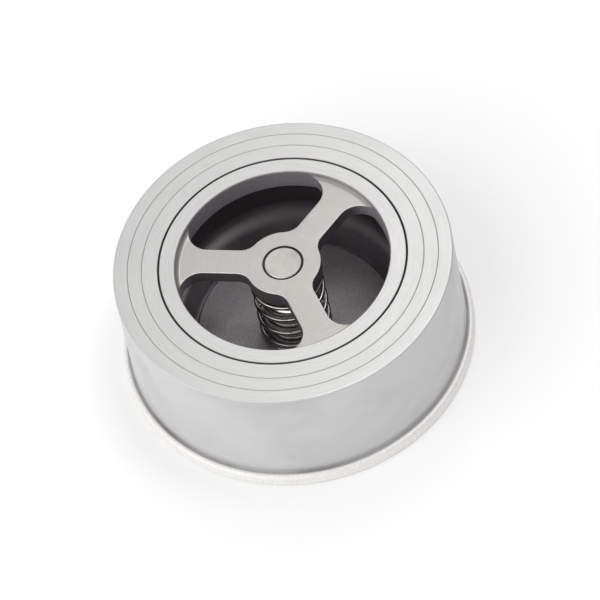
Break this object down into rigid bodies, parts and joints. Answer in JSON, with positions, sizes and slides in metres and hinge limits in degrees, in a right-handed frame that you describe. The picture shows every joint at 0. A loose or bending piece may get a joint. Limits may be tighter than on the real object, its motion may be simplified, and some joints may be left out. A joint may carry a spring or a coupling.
{
  "type": "wafer check valve",
  "caption": "Spring-loaded wafer lift check valve: a round stainless body clamped between pipe flanges, with a spider-guided disc that closes against reverse flow.",
  "frame": {"origin": "centre of the inlet face, the face that stands down", "axes": "+Z along the valve's axis in the direction of flow, from the inlet face to the outlet face with the spider; one arm of the spider lies along -Y"},
  "size_m": [0.1064, 0.1064, 0.04],
  "materials": {
    "body_steel": "stainless casting, blasted inside, turned outside and on both faces",
    "spider_steel": "stainless casting with turned faces",
    "bush_plastic": "carbon-filled PTFE",
    "disc_steel": "turned stainless, satin",
    "seal_rubber": "black elastomer",
    "stem_steel": "bright turned stainless",
    "fastener_steel": "bright stainless",
    "spring_steel": "drawn stainless wire"
  },
  "bodies": {
    "valve_body": {"body": "body_steel", "guide_spider": "spider_steel", "guide_bush": "bush_plastic"},
    "spring_end": {"spring": "spring_steel"},
    "disc_assembly": {"disc": "disc_steel", "disc_seal": "seal_rubber", "stem": "stem_steel", "disc_washer": "fastener_steel", "disc_nut": "fastener_steel"}
  },
  "joints": [
    {"name": "disc_lift", "type": "slide", "parent": "valve_body", "child": "spring_end", "axis": [0, 0, 1], "range_m": [0, 0.007], "stiffness_N_per_m": 300, "springref_m": -0.013, "deforming": ["spring"]},
    {"name": "disc_spin", "type": "hinge", "parent": "spring_end", "child": "disc_assembly", "pos_m": [0, 0, 0.0066], "axis": [0, 0, 1], "continuous": true}
  ]
}
